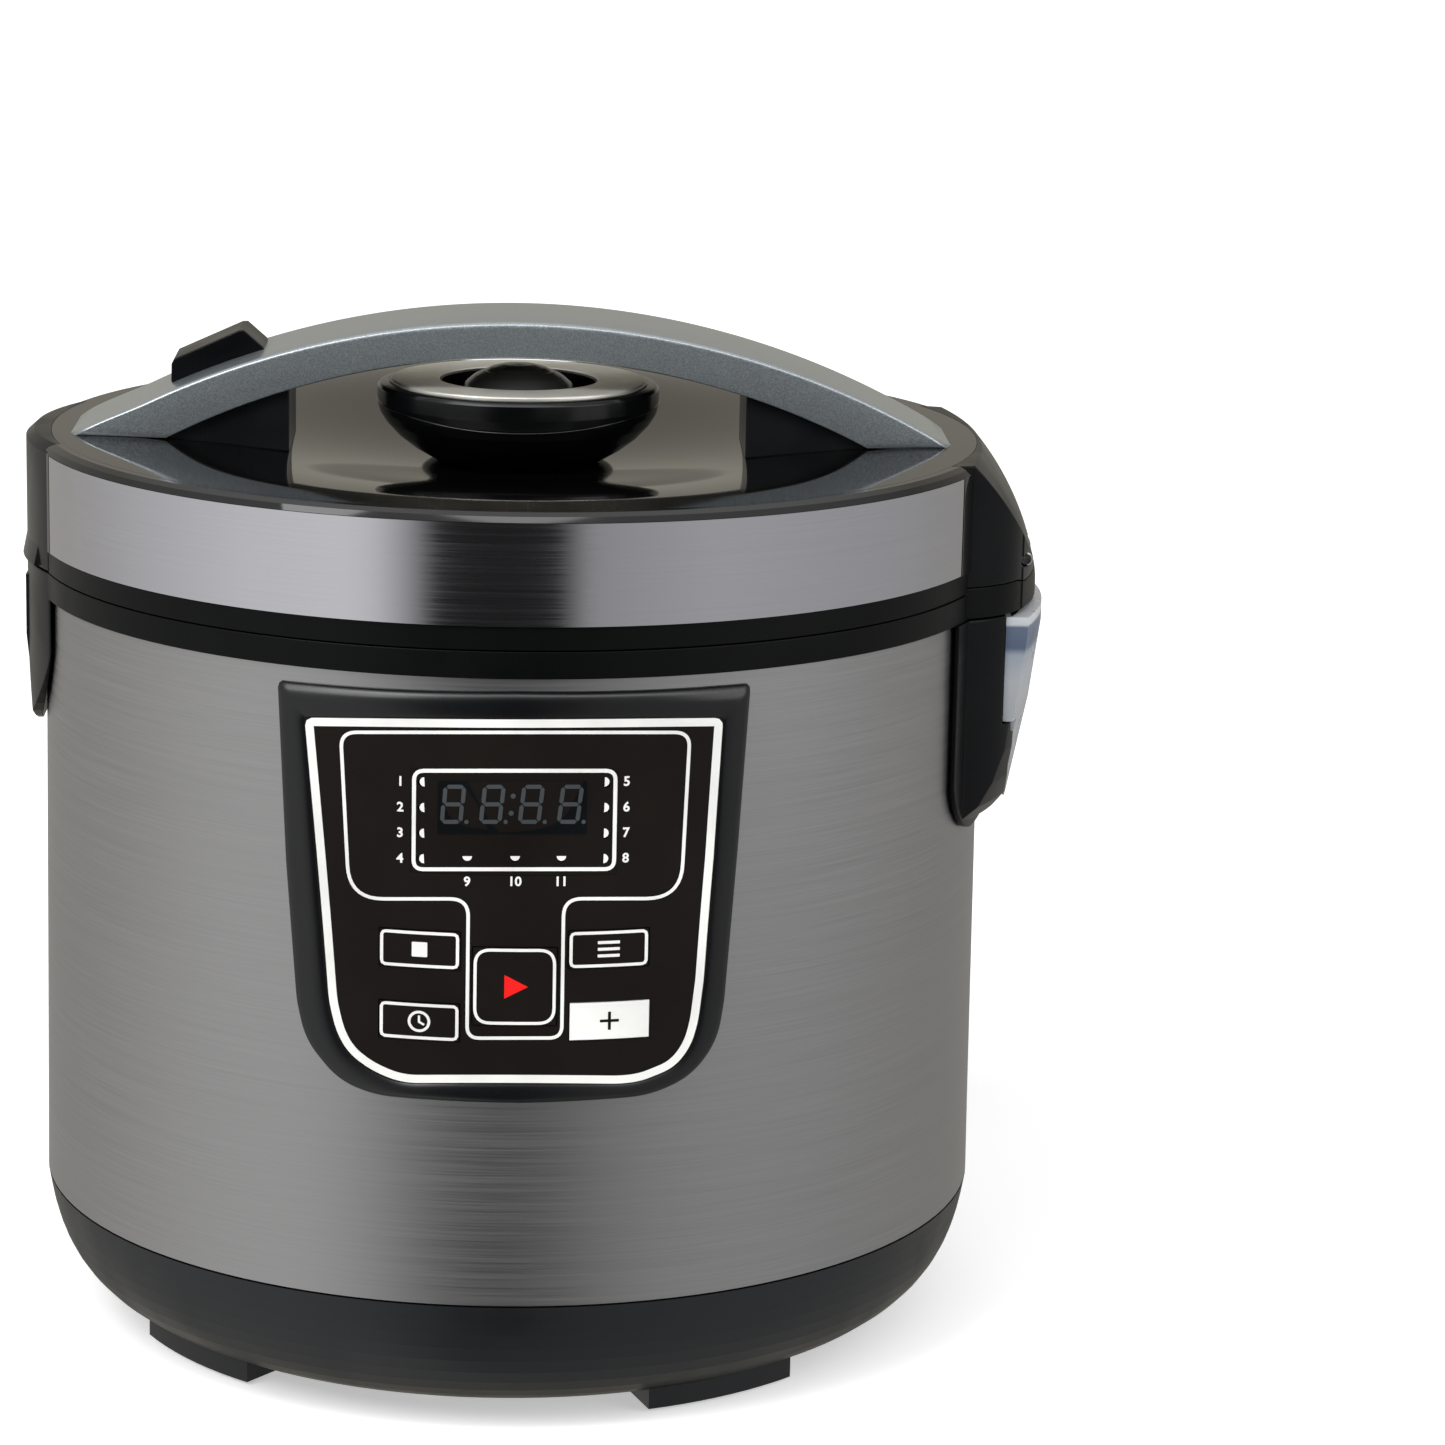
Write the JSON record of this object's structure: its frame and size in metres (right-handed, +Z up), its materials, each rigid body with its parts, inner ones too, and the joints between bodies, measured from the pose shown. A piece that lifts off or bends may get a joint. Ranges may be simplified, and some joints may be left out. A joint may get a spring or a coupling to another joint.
{
  "type": "multicooker yogurt maker",
  "caption": "Round countertop yogurt maker and multicooker with hinged lid, arch handle, keypad panel, inner pot and mains cord.",
  "frame": {"origin": "on the floor plane under the middle of the cooker's footprint without its cord; the cooker's own round axis stands 5.65 mm to the -X side of it", "axes": "+Z up, the control panel faces -Y, the lid's hinge and the condensate cup are at +X and the latch at -X"},
  "size_m": [0.3052, 0.4286, 0.3035],
  "materials": {
    "black_satin": "satin",
    "black_base": "satin",
    "black_gloss": "gloss",
    "bezel_gloss": "gloss",
    "overlay_film": "satin",
    "white_print": "satin",
    "display_glass": "gloss",
    "display_dark": "matte",
    "sleeve_steel": "brushed",
    "band_steel": "brushed",
    "bright_steel": "polished",
    "liner_metal": "satin",
    "pot_coating": "non-stick coating",
    "handle_silver": "metallic flake",
    "silicone": "matte",
    "pad_rubber": "matte",
    "cup_clear": "translucent",
    "board_green": "satin",
    "ceramic_white": "matte",
    "cord_black": "matte",
    "pin_nickel": "polished",
    "clip_brass": "satin"
  },
  "bodies": {
    "body": {"base_shell": "black_base", "foot_pads": "pad_rubber", "base_screws": "bright_steel", "steel_sleeve": "sleeve_steel", "body_ring": "black_satin", "hinge_housing": "black_satin", "latch_column": "black_satin", "latch_catch": "bright_steel", "hinge_pin": "bright_steel", "hinge_spring": "bright_steel", "inner_liner": "liner_metal", "heating_plate": "liner_metal", "plate_posts": "bright_steel", "inner_pot": "pot_coating", "sensor_spring": "bright_steel", "thermal_fuse": "ceramic_white", "power_board": "board_green", "terminal_block": "ceramic_white", "panel_bezel": "bezel_gloss", "panel_overlay": "overlay_film", "display_window": "display_glass", "display_module": "display_dark", "indicator_lenses": "white_print", "control_board": "board_green", "key_switches": "ceramic_white", "strain_relief": "cord_black", "cord_lead": "cord_black", "cord_coil": "cord_black", "cord_tie": "cord_black", "cord_tail": "cord_black", "plug_body": "cord_black", "plug_pins": "pin_nickel", "plug_earth_clips": "clip_brass"},
    "lid": {"lid_cover": "black_gloss", "hinge_cover": "black_gloss", "latch_cover": "black_gloss", "lid_band_front": "band_steel", "lid_band_rear": "band_steel", "lid_ring": "black_satin", "inner_lid": "liner_metal", "lid_gasket": "silicone", "inner_lid_knob": "black_satin", "handle_trim": "handle_silver", "handle_core": "black_satin", "lid_screws": "bright_steel", "button_spring": "bright_steel", "latch_spring": "bright_steel"},
    "steam_valve": {"valve_body": "black_satin", "valve_ring": "bright_steel", "valve_dome": "black_satin"},
    "release_button": {"release_button": "black_satin"},
    "latch_hook": {"latch_hook": "black_satin"},
    "condensate_cup": {"condensate_cup": "cup_clear"},
    "pot_sensor": {"pot_sensor": "bright_steel"},
    "key_upper_left": {"key_upper_left": "overlay_film"},
    "key_lower_left": {"key_lower_left": "overlay_film"},
    "key_upper_right": {"key_upper_right": "overlay_film"},
    "key_lower_right": {"key_lower_right": "white_print"},
    "key_start": {"key_start": "overlay_film"}
  },
  "joints": [
    {"name": "lid_hinge", "type": "hinge", "parent": "body", "child": "lid", "pos_m": [0.14455, 0, 0.2368], "axis": [0, 1, 0], "range_deg": [0, 90]},
    {"name": "steam_valve_turn", "type": "hinge", "parent": "lid", "child": "steam_valve", "pos_m": [-0.00565, 0, 0.2725], "axis": [0, 0, 1], "range_deg": [0, 60]},
    {"name": "release_button_press", "type": "slide", "parent": "lid", "child": "release_button", "axis": [0.3581, 0, -0.9337], "range_m": [0, 0.0025], "stiffness_N_per_m": 1200, "springref_m": -0.002, "deforming": ["button_spring"]},
    {"name": "latch_hook_slide", "type": "slide", "parent": "lid", "child": "latch_hook", "axis": [1, 0, 0], "range_m": [0, 0.0025], "deforming": ["latch_spring"]},
    {"name": "condensate_cup_pull", "type": "slide", "parent": "body", "child": "condensate_cup", "axis": [1, 0, 0], "range_m": [0, 0.03]},
    {"name": "pot_sensor_press", "type": "slide", "parent": "body", "child": "pot_sensor", "axis": [0, 0, -1], "range_m": [0, 0.002], "stiffness_N_per_m": 800, "springref_m": -0.002, "deforming": ["sensor_spring"]},
    {"name": "key_upper_left_press", "type": "slide", "parent": "body", "child": "key_upper_left", "axis": [0.1778, 0.9841, 0], "range_m": [0, 0.0005], "stiffness_N_per_m": 900, "springref_m": -0.0005},
    {"name": "key_lower_left_press", "type": "slide", "parent": "body", "child": "key_lower_left", "axis": [0.1778, 0.9841, 0], "range_m": [0, 0.0005], "stiffness_N_per_m": 900, "springref_m": -0.0005},
    {"name": "key_upper_right_press", "type": "slide", "parent": "body", "child": "key_upper_right", "axis": [-0.1873, 0.9823, 0], "range_m": [0, 0.0005], "stiffness_N_per_m": 900, "springref_m": -0.0005},
    {"name": "key_lower_right_press", "type": "slide", "parent": "body", "child": "key_lower_right", "axis": [-0.1907, 0.9816, 0], "range_m": [0, 0.0005], "stiffness_N_per_m": 900, "springref_m": -0.0005},
    {"name": "key_start_press", "type": "slide", "parent": "body", "child": "key_start", "axis": [-0.0064, 1, 0], "range_m": [0, 0.0005], "stiffness_N_per_m": 900, "springref_m": -0.0005}
  ],
  "couplings": [
    {"joint": "latch_hook_slide", "follows": "release_button_press", "ratio": 1}
  ]
}
